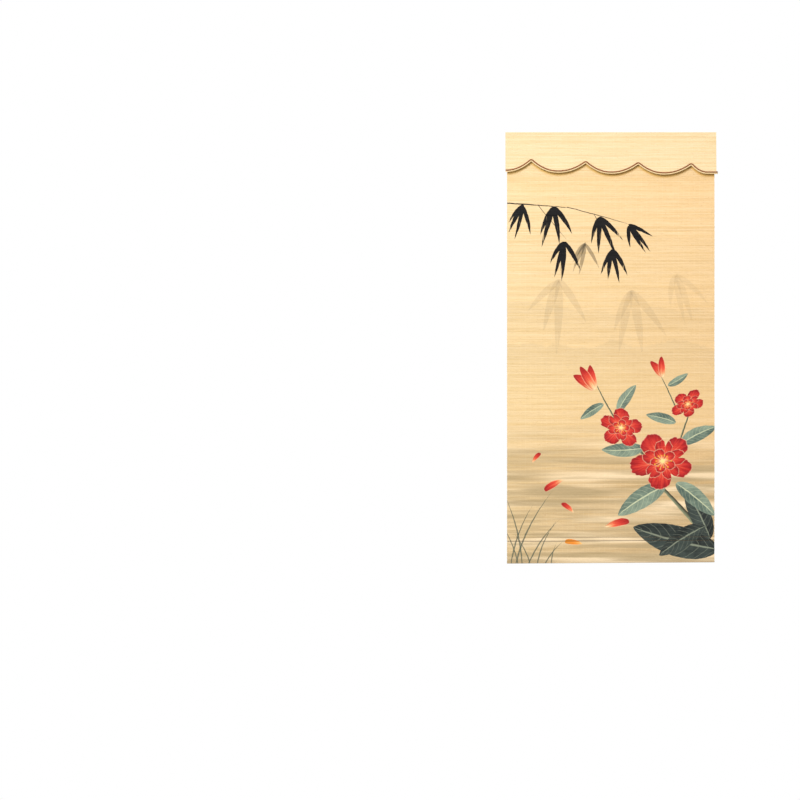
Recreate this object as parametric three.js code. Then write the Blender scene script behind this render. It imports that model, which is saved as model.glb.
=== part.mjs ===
import * as THREE from 'three';

// Roll-up blind of woven bamboo sticks with a scalloped valance, hanging at rest.
// Millimetres. X runs to the right as the front is seen, -Y is the front, Z is up.
// The origin is the middle of the cloth's top edge, at half its thickness.

// Cloth: one flat panel of woven sticks
const CLOTH_WIDTH = 787;
const CLOTH_DROP = 1632.5; // top edge to bottom fold, at half the width
const CLOTH_THICKNESS = 1.8;
const BOTTOM_RISE = 5; // the bottom fold is this much higher at the right end
const CLOTH_COLUMNS = 13;
const ROW_SPACING = 26; // between the rows of the plain stretch
const EDGE_CUP = 1.6; // the sides stand back from the middle by this much

// Slow swells down the drop that the cloth keeps from being rolled up
const SWELLS = [
  { length: 690, height: 1.5, start: 0.1 },
  { length: 275, height: 0.5, start: 0.45 },
];
const SWELL_FADE = 170; // below the heading, until the swells are full

// Heading: the flat strip at the top where the two layers lie together
const HEADING_DEPTH = 24;
const LAYER_GAP = 0.3;

// Hem: the bottom turned up behind in three layers, held by two stitch rows
const HEM_THICKNESS = 5;
const HEM_DEPTH = 105;
const HEM_STEP = 1; // drop over which the cut edge of the turning steps back
const STITCH_ROWS = [84, 97]; // above the bottom fold
const STITCH_GROOVE = 0.7; // depth
const STITCH_REACH = 4.5; // half width of the dimple that each row pulls in
const STITCH_DIMPLE = [
  { reach: 1, depth: 0 },
  { reach: 0.3, depth: 0.8 },
  { reach: 0, depth: 1 },
  { reach: -0.3, depth: 0.8 },
  { reach: -1, depth: 0 },
];
const FOLD_STEPS = 4;
const FOLD_TURN = 0.47 * Math.PI; // how far front and back each turn under, short of meeting

// Valance: a strip of the same cloth, a little wider than the blind
const VALANCE_WIDTH = 799;
const VALANCE_THICKNESS = 1.8;
const VALANCE_STAND_OFF = 8; // how far its scallops stand in front of the blind
const STAND_OFF_DROP = 150;
const STAND_OFF_BEND = 1.3; // over 1 keeps the strip close below the heading
const VALANCE_ROWS = 7;
const EDGE_BELOW_TRIM = 1.5; // the cut edge ends behind the piping

// Line of the trim, from the left edge: it swings between low points and cusps
const SCALLOPS = [
  { across: 0, drop: 147, kind: 'low' },
  { across: 97.5, drop: 105, kind: 'cusp' },
  { across: 199.5, drop: 150, kind: 'low' },
  { across: 304, drop: 113, kind: 'cusp' },
  { across: 400, drop: 154, kind: 'low' },
  { across: 503, drop: 117, kind: 'cusp' },
  { across: 600, drop: 157, kind: 'low' },
  { across: 704, drop: 120.5, kind: 'cusp' },
  { across: 764, drop: 154, kind: 'low' },
  { across: VALANCE_WIDTH, drop: 154, kind: 'end' },
];
const SCALLOP_FULLNESS = 2.1; // 2 is a parabola, more is flatter below
const CUSP_ROUNDING = 4.8; // cut back on both sides of a cusp
const CUSP_STEPS = 4;
const FLANK_STEPS = 6;

// Trim: a brown cord over a cream piping, both laid on the valance's front
const BROWN_RADIUS = 2.5;
const CREAM_RADIUS = 2.25;
const CORD_GAP = 0.45; // leaves 0.3 where the valance slopes
const CORD_SIDES = 8;
const TURN_STEPS = 6; // of the half turn round the valance's right edge
const TAIL = 12; // length tucked behind after the turn

// Colours
const BAMBOO = '#f3d6a2';
const PALE_BAMBOO = '#fce5b4';
const BROWN_BRAID = '#b07d4a';
const CREAM_BRAID = '#ecd9b2';

const flatToMiddle = Math.cos(Math.PI / CORD_SIDES);
const headingStep = (CLOTH_THICKNESS + VALANCE_THICKNESS) / 2 + LAYER_GAP;

// Mesh from corners and faces, with flat shading from the standard normals
function meshOf(name, corners, faces, color, roughness) {
  const geometry = new THREE.BufferGeometry();
  geometry.setAttribute('position', new THREE.Float32BufferAttribute(corners.flat(), 3));
  geometry.setIndex(faces.flat());
  geometry.computeVertexNormals();
  const mesh = new THREE.Mesh(geometry, new THREE.MeshStandardMaterial({ color, roughness, metalness: 0 }));
  mesh.name = name;
  return mesh;
}

function quad(faces, a, b, c, d) {
  faces.push([a, b, c], [a, c, d]);
}

// Closed sheet between a front and a back grid of points: rows from the top down, columns from left to right
function sheet(name, front, back, color, roughness) {
  const rows = front.length;
  const columns = front[0].length;
  const corners = [...front.flat(), ...back.flat()];
  const faces = [];
  const f = (row, column) => row * columns + column;
  const b = (row, column) => rows * columns + f(row, column);
  for (let row = 0; row < rows - 1; row++) {
    for (let column = 0; column < columns - 1; column++) {
      quad(faces, f(row, column), f(row + 1, column), f(row + 1, column + 1), f(row, column + 1));
      quad(faces, b(row, column), b(row, column + 1), b(row + 1, column + 1), b(row + 1, column));
    }
    quad(faces, f(row, 0), b(row, 0), b(row + 1, 0), f(row + 1, 0));
    const last = columns - 1;
    quad(faces, f(row, last), f(row + 1, last), b(row + 1, last), b(row, last));
  }
  for (let column = 0; column < columns - 1; column++) {
    const last = rows - 1;
    quad(faces, f(0, column), f(0, column + 1), b(0, column + 1), b(0, column));
    quad(faces, f(last, column), b(last, column), b(last, column + 1), f(last, column + 1));
  }
  return meshOf(name, corners, faces, color, roughness);
}

// Solid cord along a line of points: one ring of corners at each, its frame carried along from the first
function cord(name, line, radius, color, roughness) {
  const corners = [];
  const faces = [];
  let outward = new THREE.Vector3(0, -1, 0);
  line.forEach((point, i) => {
    const before = line[Math.max(i - 1, 0)];
    const after = line[Math.min(i + 1, line.length - 1)];
    const along = after.clone().sub(before).normalize();
    outward = outward.clone().addScaledVector(along, -outward.dot(along)).normalize();
    const sideways = new THREE.Vector3().crossVectors(along, outward);
    for (let k = 0; k < CORD_SIDES; k++) {
      const turn = ((k + 0.5) / CORD_SIDES) * 2 * Math.PI;
      const corner = point.clone();
      corner.addScaledVector(outward, radius * Math.cos(turn));
      corner.addScaledVector(sideways, radius * Math.sin(turn));
      corners.push(corner.toArray());
    }
  });
  for (let i = 0; i < line.length - 1; i++) {
    for (let k = 0; k < CORD_SIDES; k++) {
      const here = i * CORD_SIDES;
      const next = here + CORD_SIDES;
      const beside = (k + 1) % CORD_SIDES;
      quad(faces, here + k, here + beside, next + beside, next + k);
    }
  }
  const end = (line.length - 1) * CORD_SIDES;
  for (let k = 1; k < CORD_SIDES - 1; k++) {
    faces.push([0, k + 1, k], [end, end + k, end + k + 1]);
  }
  return meshOf(name, corners, faces, color, roughness);
}

// Middle of the cloth in Y at a place on it: flat at the heading, then the swells and the cupped sides
function clothMiddle(x, drop) {
  const fade = THREE.MathUtils.smoothstep(drop, HEADING_DEPTH, HEADING_DEPTH + SWELL_FADE);
  const cup = EDGE_CUP * ((2 * x) / CLOTH_WIDTH) ** 2;
  let rolled = 0;
  for (const swell of SWELLS) {
    rolled += swell.height * Math.sin(2 * Math.PI * (drop / swell.length + swell.start));
  }
  return fade * (cup + rolled);
}

// Rows of the cloth: height above the bottom fold, and how far front and back lie from the middle
function clothRows() {
  const half = CLOTH_THICKNESS / 2;
  const hemBack = HEM_THICKNESS - half;
  const rows = [];
  const plain = (above) => rows.push({ above, front: half, back: half });
  plain(CLOTH_DROP);
  plain(CLOTH_DROP - HEADING_DEPTH);
  const bodyTop = CLOTH_DROP - HEADING_DEPTH;
  const bodyRows = Math.round((bodyTop - HEM_DEPTH) / ROW_SPACING);
  for (let i = 1; i <= bodyRows; i++) {
    plain(bodyTop - ((bodyTop - HEM_DEPTH) * i) / bodyRows);
  }
  rows.push({ above: HEM_DEPTH - HEM_STEP, front: half, back: hemBack });
  for (const stitch of [...STITCH_ROWS].reverse()) {
    for (const { reach, depth } of STITCH_DIMPLE) {
      rows.push({ above: stitch + reach * STITCH_REACH, front: half - depth * STITCH_GROOVE, back: hemBack });
    }
  }
  const round = HEM_THICKNESS / 2;
  const middle = hemBack - round;
  for (let above = STITCH_ROWS[0] - ROW_SPACING; above > round; above -= ROW_SPACING) {
    rows.push({ above, front: half, back: hemBack });
  }
  for (let i = 0; i <= FOLD_STEPS; i++) {
    const turn = (i / FOLD_STEPS) * FOLD_TURN;
    const reach = round * Math.cos(turn);
    rows.push({ above: round * (1 - Math.sin(turn)), front: reach - middle, back: reach + middle });
  }
  return rows;
}

function blindCloth() {
  const front = [];
  const back = [];
  for (const row of clothRows()) {
    const frontRow = [];
    const backRow = [];
    for (let column = 0; column <= CLOTH_COLUMNS; column++) {
      const across = column / CLOTH_COLUMNS - 0.5;
      const x = across * CLOTH_WIDTH;
      const lowered = 1 - row.above / CLOTH_DROP;
      const drop = CLOTH_DROP - row.above - across * BOTTOM_RISE * lowered;
      const middle = clothMiddle(x, drop);
      frontRow.push([x, middle - row.front, -drop]);
      backRow.push([x, middle + row.back, -drop]);
    }
    front.push(frontRow);
    back.push(backRow);
  }
  return sheet('blind_cloth', front, back, BAMBOO, 0.75);
}

// Middle of the valance in Y at a drop: close to the cloth at the heading, standing off more and more below
function valanceMiddle(drop) {
  const below = Math.max(drop - HEADING_DEPTH, 0) / (STAND_OFF_DROP - HEADING_DEPTH);
  return -headingStep - VALANCE_STAND_OFF * below ** STAND_OFF_BEND;
}

// Line of the trim on the front, as points of X and Z, with each cusp rounded by a curve that its flanks meet
function trimLine() {
  const place = (across, drop) => new THREE.Vector2(across - VALANCE_WIDTH / 2, -drop);
  const flank = (low, cusp) => {
    const span = cusp.across - low.across;
    const reach = 1 - CUSP_ROUNDING / Math.abs(span);
    const points = [];
    for (let i = 0; i <= FLANK_STEPS; i++) {
      const share = (reach * i) / FLANK_STEPS;
      const rise = (low.drop - cusp.drop) * share ** SCALLOP_FULLNESS;
      points.push(place(low.across + span * share, low.drop - rise));
    }
    return points;
  };
  const path = new THREE.Path();
  path.moveTo(...place(SCALLOPS[0].across, SCALLOPS[0].drop).toArray());
  for (let i = 1; i < SCALLOPS.length; i++) {
    const from = SCALLOPS[i - 1];
    const to = SCALLOPS[i];
    if (to.kind === 'cusp') {
      flank(from, to).slice(1).forEach((point) => path.lineTo(point.x, point.y));
    } else if (to.kind === 'low') {
      const down = flank(to, from).reverse();
      const peak = place(from.across, from.drop);
      path.quadraticCurveTo(peak.x, peak.y, down[0].x, down[0].y);
      down.slice(1).forEach((point) => path.lineTo(point.x, point.y));
    } else {
      const end = place(to.across, to.drop);
      path.lineTo(end.x, end.y);
    }
  }
  return path.getPoints(CUSP_STEPS);
}

// The same line moved sideways in the valance's face, up for a positive distance
function beside(line, distance) {
  return line.map((point, i) => {
    const atEnd = i === 0 || i === line.length - 1;
    const along = atEnd ? new THREE.Vector2(1, 0) : line[i + 1].clone().sub(line[i - 1]).normalize();
    return new THREE.Vector2(point.x - along.y * distance, point.y + along.x * distance);
  });
}

function valance(line) {
  const edge = beside(line, -EDGE_BELOW_TRIM);
  const half = VALANCE_THICKNESS / 2;
  const front = [];
  const back = [];
  const addRow = (dropAt) => {
    const drops = edge.map((point) => dropAt(-point.y));
    front.push(edge.map((point, i) => [point.x, valanceMiddle(drops[i]) - half, -drops[i]]));
    back.push(edge.map((point, i) => [point.x, valanceMiddle(drops[i]) + half, -drops[i]]));
  };
  addRow(() => 0);
  for (let row = 0; row <= VALANCE_ROWS; row++) {
    addRow((bottom) => THREE.MathUtils.lerp(HEADING_DEPTH, bottom, row / VALANCE_ROWS));
  }
  return sheet('valance', front, back, PALE_BAMBOO, 0.7);
}

// Route of one of the trim's cords: over the valance's front, a half turn round its right edge, and a short tail
function trimRoute(line, radius) {
  const standOff = VALANCE_THICKNESS / 2 + CORD_GAP + radius * flatToMiddle;
  const route = line.map(({ x, y: z }) => new THREE.Vector3(x, valanceMiddle(-z) - standOff, z));
  const edge = line[line.length - 1];
  const middle = valanceMiddle(-edge.y);
  for (let i = 1; i <= TURN_STEPS; i++) {
    const turn = (i / TURN_STEPS) * Math.PI;
    const x = edge.x + standOff * Math.sin(turn);
    route.push(new THREE.Vector3(x, middle - standOff * Math.cos(turn), edge.y));
  }
  route.push(new THREE.Vector3(edge.x - TAIL, middle + standOff, edge.y));
  return route;
}

const line = trimLine();
const brownLine = beside(line, BROWN_RADIUS * flatToMiddle + CORD_GAP / 2);
const creamLine = beside(line, -CREAM_RADIUS * flatToMiddle - CORD_GAP / 2);

const blind = new THREE.Group();
blind.add(blindCloth());
blind.add(valance(line));
blind.add(cord('brown_cord', trimRoute(brownLine, BROWN_RADIUS), BROWN_RADIUS, BROWN_BRAID, 0.85));
blind.add(cord('cream_piping', trimRoute(creamLine, CREAM_RADIUS), CREAM_RADIUS, CREAM_BRAID, 0.8));

export default blind;
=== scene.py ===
"""A flat roll-up blind of fine woven bamboo sticks, with a scalloped valance and a two-tone trim, let down.

Metres, in the frame's own axes: X to the right as the front is seen, -Y out of the front, Z up, and the
origin in the middle of the top edge. "Drop" is the distance below that edge.
"""

import math

import bpy
import numpy as np
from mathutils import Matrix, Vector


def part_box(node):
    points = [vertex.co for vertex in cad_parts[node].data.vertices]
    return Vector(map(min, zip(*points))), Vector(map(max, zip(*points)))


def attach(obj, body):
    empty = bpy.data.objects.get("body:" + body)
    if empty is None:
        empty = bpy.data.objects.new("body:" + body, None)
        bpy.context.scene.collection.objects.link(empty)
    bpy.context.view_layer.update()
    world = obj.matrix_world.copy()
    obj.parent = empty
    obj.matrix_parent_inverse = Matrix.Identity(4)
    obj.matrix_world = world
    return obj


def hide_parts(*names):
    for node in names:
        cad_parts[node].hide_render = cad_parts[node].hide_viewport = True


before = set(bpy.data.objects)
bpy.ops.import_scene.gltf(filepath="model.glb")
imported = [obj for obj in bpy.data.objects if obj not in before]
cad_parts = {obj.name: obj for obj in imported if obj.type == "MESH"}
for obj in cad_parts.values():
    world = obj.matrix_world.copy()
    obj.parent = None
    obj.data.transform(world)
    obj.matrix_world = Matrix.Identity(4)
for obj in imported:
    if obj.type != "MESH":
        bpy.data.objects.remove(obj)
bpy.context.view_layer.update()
chance = np.random.default_rng(20)
hand = np.random.default_rng(5)

MM = 0.001

# Cloth, as the frame has it
cloth_low, cloth_high = (np.array(corner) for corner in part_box("blind_cloth"))
CLOTH_WIDTH = cloth_high[0] - cloth_low[0]
BOTTOM_RISE = 5 * MM
CLOTH_DROP = -cloth_low[2] - BOTTOM_RISE / 2
SHEET = 1.8 * MM
HEADING = 24 * MM
EDGE_CUP = 1.6 * MM
SWELL_FADE = 170 * MM
SWELLS = (
    {"length": 690 * MM, "height": 1.5 * MM, "start": 0.1},
    {"length": 275 * MM, "height": 0.5 * MM, "start": 0.45},
)
CLOTH_COLUMNS = 21

# Turned-up hem, in three layers held by two stitch rows
HEM_THICKNESS = 5 * MM
HEM_DEPTH = 105 * MM
STITCH_ROWS = (84 * MM, 97 * MM)
STITCH_GROOVE = 1.0 * MM
STITCH_REACH = 2.6 * MM
STITCH_SPACING = 6 * MM
STITCH_LENGTH = 4.2 * MM
STITCH_SHIFT = 0.2
BACK_SINK = 0.4 * MM
THREAD_PLIES = 2
THREAD_LAY = 2 * MM
THREAD_RADIUS = 0.5 * MM
STITCH_RINGS = 7
STITCH_SIDES = 8
FOLD_ROWS = 6
FOLD_TURN = 0.47 * math.pi

# Sticks: split bamboo about 2 mm wide lies at this pitch, which is at the limit of what the render shows
STICK_PITCH = 2.4 * MM
STICK_VARIATION = 0.22
RIB_DEPTH = 0.45 * MM
RIB_PLACE = np.array([0, 0.22, 0.78])
RIB_CROWN = np.array([0, 1, 1])
STICK_LIFT = 0.05 * MM
STICK_TILT = 0.05 * MM
LIFT_KNOTS = 7
END_RAGGED = 0.8 * MM

# Valance, and the line of its trim from the left edge: low points and cusps in turn
valance_low, valance_high = (np.array(corner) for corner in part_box("valance"))
VALANCE_WIDTH = valance_high[0] - valance_low[0]
LAYER_GAP = 0.3 * MM
STAND_OFF = 8 * MM
STAND_OFF_DROP = 150 * MM
STAND_OFF_BEND = 1.3
EDGE_BELOW_TRIM = 1.5 * MM
SCALLOPS = (
    {"across": 0, "drop": 147, "kind": "low"},
    {"across": 97.5, "drop": 105, "kind": "cusp"},
    {"across": 199.5, "drop": 150, "kind": "low"},
    {"across": 304, "drop": 113, "kind": "cusp"},
    {"across": 400, "drop": 154, "kind": "low"},
    {"across": 503, "drop": 117, "kind": "cusp"},
    {"across": 600, "drop": 157, "kind": "low"},
    {"across": 704, "drop": 120.5, "kind": "cusp"},
    {"across": 764, "drop": 154, "kind": "low"},
    {"across": 799, "drop": 154, "kind": "end"},
)
SCALLOP_FULLNESS = 2.1
CUSP_ROUNDING = 4.8 * MM
FLANK_POINTS = 40
CUSP_POINTS = 12
LEVEL_POINTS = 6
VALANCE_COLUMNS = 150

# Trim
BROWN_RADIUS = 2.5 * MM
CREAM_RADIUS = 2.25 * MM
CORD_GAP = 0.45 * MM
BROWN_STRANDS, CREAM_STRANDS = 3, 2
BROWN_LAY = 15 * MM
CREAM_LAY = 9 * MM
BROWN_SIDES, CREAM_SIDES = 18, 16
CORD_STEP = 1.2 * MM
TRIM_FLAT = math.cos(math.pi / 8)
TAIL = 12 * MM
TURN_POINTS = 24
STRAND_DIP = 0.2
STRAND_ROUNDNESS = 0.6


def smoothstep(value, low, high):
    """0 below low, 1 above high, and 3t^2 - 2t^3 of the way between."""
    share = np.clip((value - low) / (high - low), 0, 1)
    return share * share * (3 - 2 * share)


def cloth_middle(x, drop):
    """Y of the cloth's middle: a cup that grows with the square of x, and two sine swells, faded in below
    the top."""
    rolled = sum(s["height"] * np.sin(2 * np.pi * (drop / s["length"] + s["start"])) for s in SWELLS)
    return smoothstep(drop, HEADING, HEADING + SWELL_FADE) * (EDGE_CUP * (2 * x / CLOTH_WIDTH) ** 2 + rolled)


def valance_middle(drop):
    """Y of the valance's middle: level at the heading, then a power of the drop below it."""
    below = np.maximum(drop - HEADING, 0) / (STAND_OFF_DROP - HEADING)
    return -SHEET - LAYER_GAP - STAND_OFF * below ** STAND_OFF_BEND


def stick_edges(top, bottom):
    """Drops of the edges between sticks: pitches that vary by chance, scaled to fill the stretch."""
    widths = 1 + STICK_VARIATION * chance.uniform(-1, 1, round((bottom - top) / STICK_PITCH))
    return top + (bottom - top) * np.concatenate([[0], np.cumsum(widths)]) / widths.sum()


def stick_rows(edges):
    """Rows over the sticks: one in the groove above each stick, two on its crown, and one at the last edge.
    Returns each row's drop, its crown height from 0 to 1, and its place in sticks, as 3.22 in the fourth
    stick."""
    widths = np.diff(edges)[:, None]
    drop = (edges[:-1, None] + widths * RIB_PLACE).ravel()
    place = (np.arange(len(widths))[:, None] + RIB_PLACE).ravel()
    crown = np.tile(RIB_CROWN, len(widths))
    return np.append(drop, edges[-1]), np.append(crown, 0), np.append(place, len(widths))


def stick_relief(crown, place, across):
    """Height of rows by columns over the groove's floor: a crown, lifted and tilted for each stick by
    chance values that change slowly along it. Across is 0 to 1 over the width."""
    sticks = int(place[-1]) + 1
    knots = np.linspace(0, 1, LIFT_KNOTS)
    spread = np.maximum(0, 1 - np.abs(across - knots[:, None]) * (LIFT_KNOTS - 1))
    lift = chance.normal(0, STICK_LIFT, (sticks, LIFT_KNOTS)) @ spread
    tilt = chance.normal(0, STICK_TILT, (sticks, LIFT_KNOTS)) @ spread
    stick = place.astype(int)
    side = 2 * (place - stick)[:, None] - 1
    return crown[:, None] * (RIB_DEPTH + lift[stick] + tilt[stick] * side)


def piece(name, points, faces, uv=None, face_slots=None, sharp=40):
    """A mesh object from an array of points and a list of faces. Uv has a row for each point. Edges sharper
    than the angle stay sharp."""
    mesh = bpy.data.meshes.new(name)
    mesh.from_pydata(np.asarray(points).tolist(), [], faces)
    if uv is not None:
        corner_points = np.empty(len(mesh.loops), dtype=int)
        mesh.loops.foreach_get("vertex_index", corner_points)
        mesh.uv_layers.new(name="weave").data.foreach_set("uv", uv[corner_points].ravel())
    mesh.shade_smooth()
    mesh.set_sharp_from_angle(angle=math.radians(sharp))
    if face_slots is not None:
        mesh.polygons.foreach_set("material_index", face_slots)
    made = bpy.data.objects.new(name, mesh)
    bpy.context.scene.collection.objects.link(made)
    return made


def grid_faces(ids):
    """Quads between neighbouring rows and columns of a grid of point numbers, rows from the top down."""
    a, b, c, d = ids[:-1, :-1], ids[1:, :-1], ids[1:, 1:], ids[:-1, 1:]
    return np.stack([a, b, c, d], axis=-1).reshape(-1, 4)


def without_repeats(quads):
    """Faces from quads whose corners may coincide: a quad with one repeat is a triangle, with two it is
    left out."""
    fresh = quads != np.roll(quads, 1, axis=1)
    kept = fresh.sum(axis=1)
    return [face[new].tolist() for face, new in zip(quads[kept > 2], fresh[kept > 2])]


def closed_sheet(name, front, back, ids, uv):
    """A closed sheet between a front and a back grid of points, with rims along all four sides. Ids gives
    each grid point its number, so points that coincide can share one. Front and rims take the first slot,
    the back the second."""
    count = ids.max() + 1
    points = np.empty((2 * count, 3))
    points[ids.ravel()] = front.reshape(-1, 3)
    points[count + ids.ravel()] = back.reshape(-1, 3)
    both = np.empty((2 * count, 2))
    both[ids.ravel()] = uv.reshape(-1, 2)
    both[count:] = both[:count]
    outline = np.concatenate([ids[:-1, 0], ids[-1, :-1], ids[:0:-1, -1], ids[0, :0:-1]])
    after = np.roll(outline, -1)
    rim = np.stack([outline, outline + count, after + count, after], axis=-1)
    front_faces = without_repeats(grid_faces(ids))
    back_faces = without_repeats(grid_faces(ids)[:, ::-1] + count)
    rim_faces = rim[outline != after].tolist()
    faces = front_faces + rim_faces + back_faces
    slots = [0] * (len(front_faces) + len(rim_faces)) + [1] * len(back_faces)
    return piece(name, points, faces, both, slots)


def blind_cloth():
    """The full-drop sheet: rows of sticks from the top edge to the bottom fold. Each row falls a little
    less towards the right, and the front and back lie either side of the middle, further back over the
    turned hem."""
    round_fold = HEM_THICKNESS / 2
    edges = stick_edges(0, CLOTH_DROP - round_fold)
    drop, crown, place = stick_rows(edges)
    turn = np.linspace(0, FOLD_TURN, FOLD_ROWS)[1:]
    drop = np.append(drop, CLOTH_DROP - round_fold * (1 - np.sin(turn)))
    crown = np.append(crown, np.full(FOLD_ROWS - 1, 0.5))
    place = np.append(place, place[-1] + np.linspace(0.1, 0.9, FOLD_ROWS - 1))
    above = (CLOTH_DROP - drop)[:, None]

    across = np.linspace(0, 1, CLOTH_COLUMNS + 1)
    x = np.tile((across - 0.5) * CLOTH_WIDTH, (len(drop), 1))
    ends = chance.uniform(0, END_RAGGED, (int(place[-1]) + 1, 2))[place.astype(int)]
    x[:, 0] += ends[:, 0]
    x[:, -1] -= ends[:, 1]
    fallen = drop[:, None] * (1 - (across - 0.5) * BOTTOM_RISE / CLOTH_DROP)
    middle = cloth_middle(x, fallen)

    stitched = sum(np.exp(-((above - row) / STITCH_REACH) ** 2) for row in STITCH_ROWS)
    fold = np.sqrt(np.maximum(0, round_fold ** 2 - np.maximum(0, round_fold - above) ** 2))
    hem_middle = HEM_THICKNESS - SHEET / 2 - round_fold
    in_fold = above < round_fold
    plain_front = np.where(in_fold, fold - hem_middle, SHEET / 2)
    hem_back = np.where(in_fold, fold + hem_middle, HEM_THICKNESS - SHEET / 2)
    plain_back = np.where(above < HEM_DEPTH, hem_back, SHEET / 2)
    front_out = plain_front - RIB_DEPTH + stick_relief(crown, place, across) - STITCH_GROOVE * stitched
    back_out = plain_back - RIB_DEPTH + stick_relief(crown, place, across)
    front = np.stack([x, middle - front_out, -fallen], axis=-1)
    back = np.stack([x, middle + back_out, -fallen], axis=-1)
    uv = np.stack([x - x.min(), np.broadcast_to(place[:, None], x.shape)], axis=-1)
    ids = np.arange(x.size).reshape(x.shape)
    return closed_sheet("bamboo_cloth", front, back, ids, uv)


def trim_line():
    """The line between the two trim cords, as points of X and drop: between a low point and a cusp the drop
    is a power of the distance from the low point, and each cusp is rounded by a quadratic curve that its
    flanks meet."""
    def place(row):
        return np.array([row["across"] * MM - VALANCE_WIDTH / 2, row["drop"] * MM])

    def flank(low, cusp):
        span = cusp - low
        share = np.linspace(0, 1 - CUSP_ROUNDING / abs(span[0]), FLANK_POINTS)
        return low + np.stack([share, share ** SCALLOP_FULLNESS], axis=-1) * span

    parts = []
    for before, here in zip(SCALLOPS, SCALLOPS[1:]):
        if here["kind"] == "cusp":
            parts.append(flank(place(before), place(here)))
        elif here["kind"] == "low":
            down = flank(place(here), place(before))[::-1]
            start, peak = parts[-1][-1], place(before)
            t = np.linspace(0, 1, CUSP_POINTS)[1:-1, None]
            parts.append((1 - t) ** 2 * start + 2 * t * (1 - t) * peak + t ** 2 * down[0])
            parts.append(down)
        else:
            parts.append(np.linspace(place(before), place(here), LEVEL_POINTS)[1:])
    return np.concatenate(parts)


def beside(line, distance):
    """The line moved at right angles to itself, up for a positive distance."""
    along = np.gradient(line, axis=0)
    along[[0, -1]] = (1, 0)
    along /= np.linalg.norm(along, axis=1, keepdims=True)
    return line + distance * np.stack([along[:, 1], -along[:, 0]], axis=-1)


def valance(line):
    """The scalloped strip: rows of sticks cut off along the hem, where the rows below it share the hem's
    points."""
    edge = beside(line, -EDGE_BELOW_TRIM)
    across = np.linspace(0, 1, VALANCE_COLUMNS + 1)
    x = (across - 0.5) * VALANCE_WIDTH
    hem = np.interp(x, edge[:, 0], edge[:, 1])
    drop, crown, place = stick_rows(stick_edges(0, hem.max() + STICK_PITCH))
    cut = np.minimum(drop[:, None], hem)
    rows, columns = cut.shape
    ids = np.arange(rows)[:, None] * columns + np.arange(columns)
    first_cut = (drop[:, None] < hem).sum(axis=0)
    ids = np.minimum(ids, first_cut * columns + np.arange(columns))
    ids = np.unique(ids, return_inverse=True)[1].reshape(cut.shape)

    flush = -RIB_DEPTH + np.where(cut < hem, stick_relief(crown, place, across), RIB_DEPTH)
    back_flush = -RIB_DEPTH + np.where(cut < hem, stick_relief(crown, place, across), RIB_DEPTH)
    middle = valance_middle(cut)
    x = np.broadcast_to(x, cut.shape)
    front = np.stack([x, middle - SHEET / 2 - flush, -cut], axis=-1)
    back = np.stack([x, middle + SHEET / 2 + back_flush, -cut], axis=-1)
    uv = np.stack([x - x.min(), np.broadcast_to(place[:, None], x.shape)], axis=-1)
    return closed_sheet("bamboo_valance", front, back, ids, uv)


def trim_route(line, radius):
    """Route of a trim cord as points and outward directions: over the valance's front, a half circle round
    its right edge, and a short tail behind it."""
    stand_off = SHEET / 2 + CORD_GAP + radius * TRIM_FLAT
    middle = valance_middle(line[:, 1])
    front = np.stack([line[:, 0], middle - stand_off, -line[:, 1]], axis=-1)
    outward = np.tile([0.0, -1.0, 0.0], (len(line), 1))
    turn = np.linspace(0, np.pi, TURN_POINTS)[1:]
    round_edge = np.stack([np.sin(turn), -np.cos(turn), 0 * turn], axis=-1)
    centre = np.array([line[-1, 0], middle[-1], -line[-1, 1]])
    tail = centre + [-TAIL, stand_off, 0]
    points = np.concatenate([front, centre + stand_off * round_edge, [tail]])
    outward = np.concatenate([outward, round_edge, [[0, 1, 0]]])
    return points, outward


def twisted_cord(name, route, radius, strands, lay, sides):
    """A cord carried along a route: a round section whose radius dips between its strands, turning once in
    each lay length. The frame is the route's outward direction, squared to the line's own direction."""
    points, outward = route
    reached = np.concatenate([[0], np.cumsum(np.linalg.norm(np.diff(points, axis=0), axis=1))])
    length = reached[-1]
    count = int(length / CORD_STEP)
    travelled = np.linspace(0, length, count)
    centre = np.stack([np.interp(travelled, reached, points[:, k]) for k in range(3)], axis=-1)
    outward = np.stack([np.interp(travelled, reached, outward[:, k]) for k in range(3)], axis=-1)
    along = np.gradient(centre, axis=0)
    along /= np.linalg.norm(along, axis=1, keepdims=True)
    sideways = np.cross(along, outward)
    sideways /= np.linalg.norm(sideways, axis=1, keepdims=True)
    outward = np.cross(sideways, along)
    angle = np.linspace(0, 2 * np.pi, sides, endpoint=False)
    travelled = travelled[:, None]
    lobe = np.abs(np.cos(strands / 2 * (angle - 2 * np.pi * travelled / lay)))
    ring = radius * (1 - STRAND_DIP + STRAND_DIP * lobe ** STRAND_ROUNDNESS)
    ends = np.minimum(travelled, length - travelled) / (0.5 * radius)
    ring = (ring * np.sqrt(1 - 0.8 * (1 - np.minimum(ends, 1)) ** 2))[:, :, None]
    surface = centre[:, None] + ring * (
        np.cos(angle)[None, :, None] * outward[:, None] + np.sin(angle)[None, :, None] * sideways[:, None])
    ids = np.arange(count * sides).reshape(count, sides)
    wrapped = np.concatenate([ids, ids[:, :1]], axis=1)
    faces = grid_faces(wrapped)[:, ::-1].tolist() + [ids[0].tolist(), ids[-1, ::-1].tolist()]
    uv = np.stack(np.broadcast_arrays(travelled, angle / (2 * np.pi)), axis=-1).reshape(-1, 2)
    return piece(name, surface.reshape(-1, 3), faces, uv)


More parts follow.
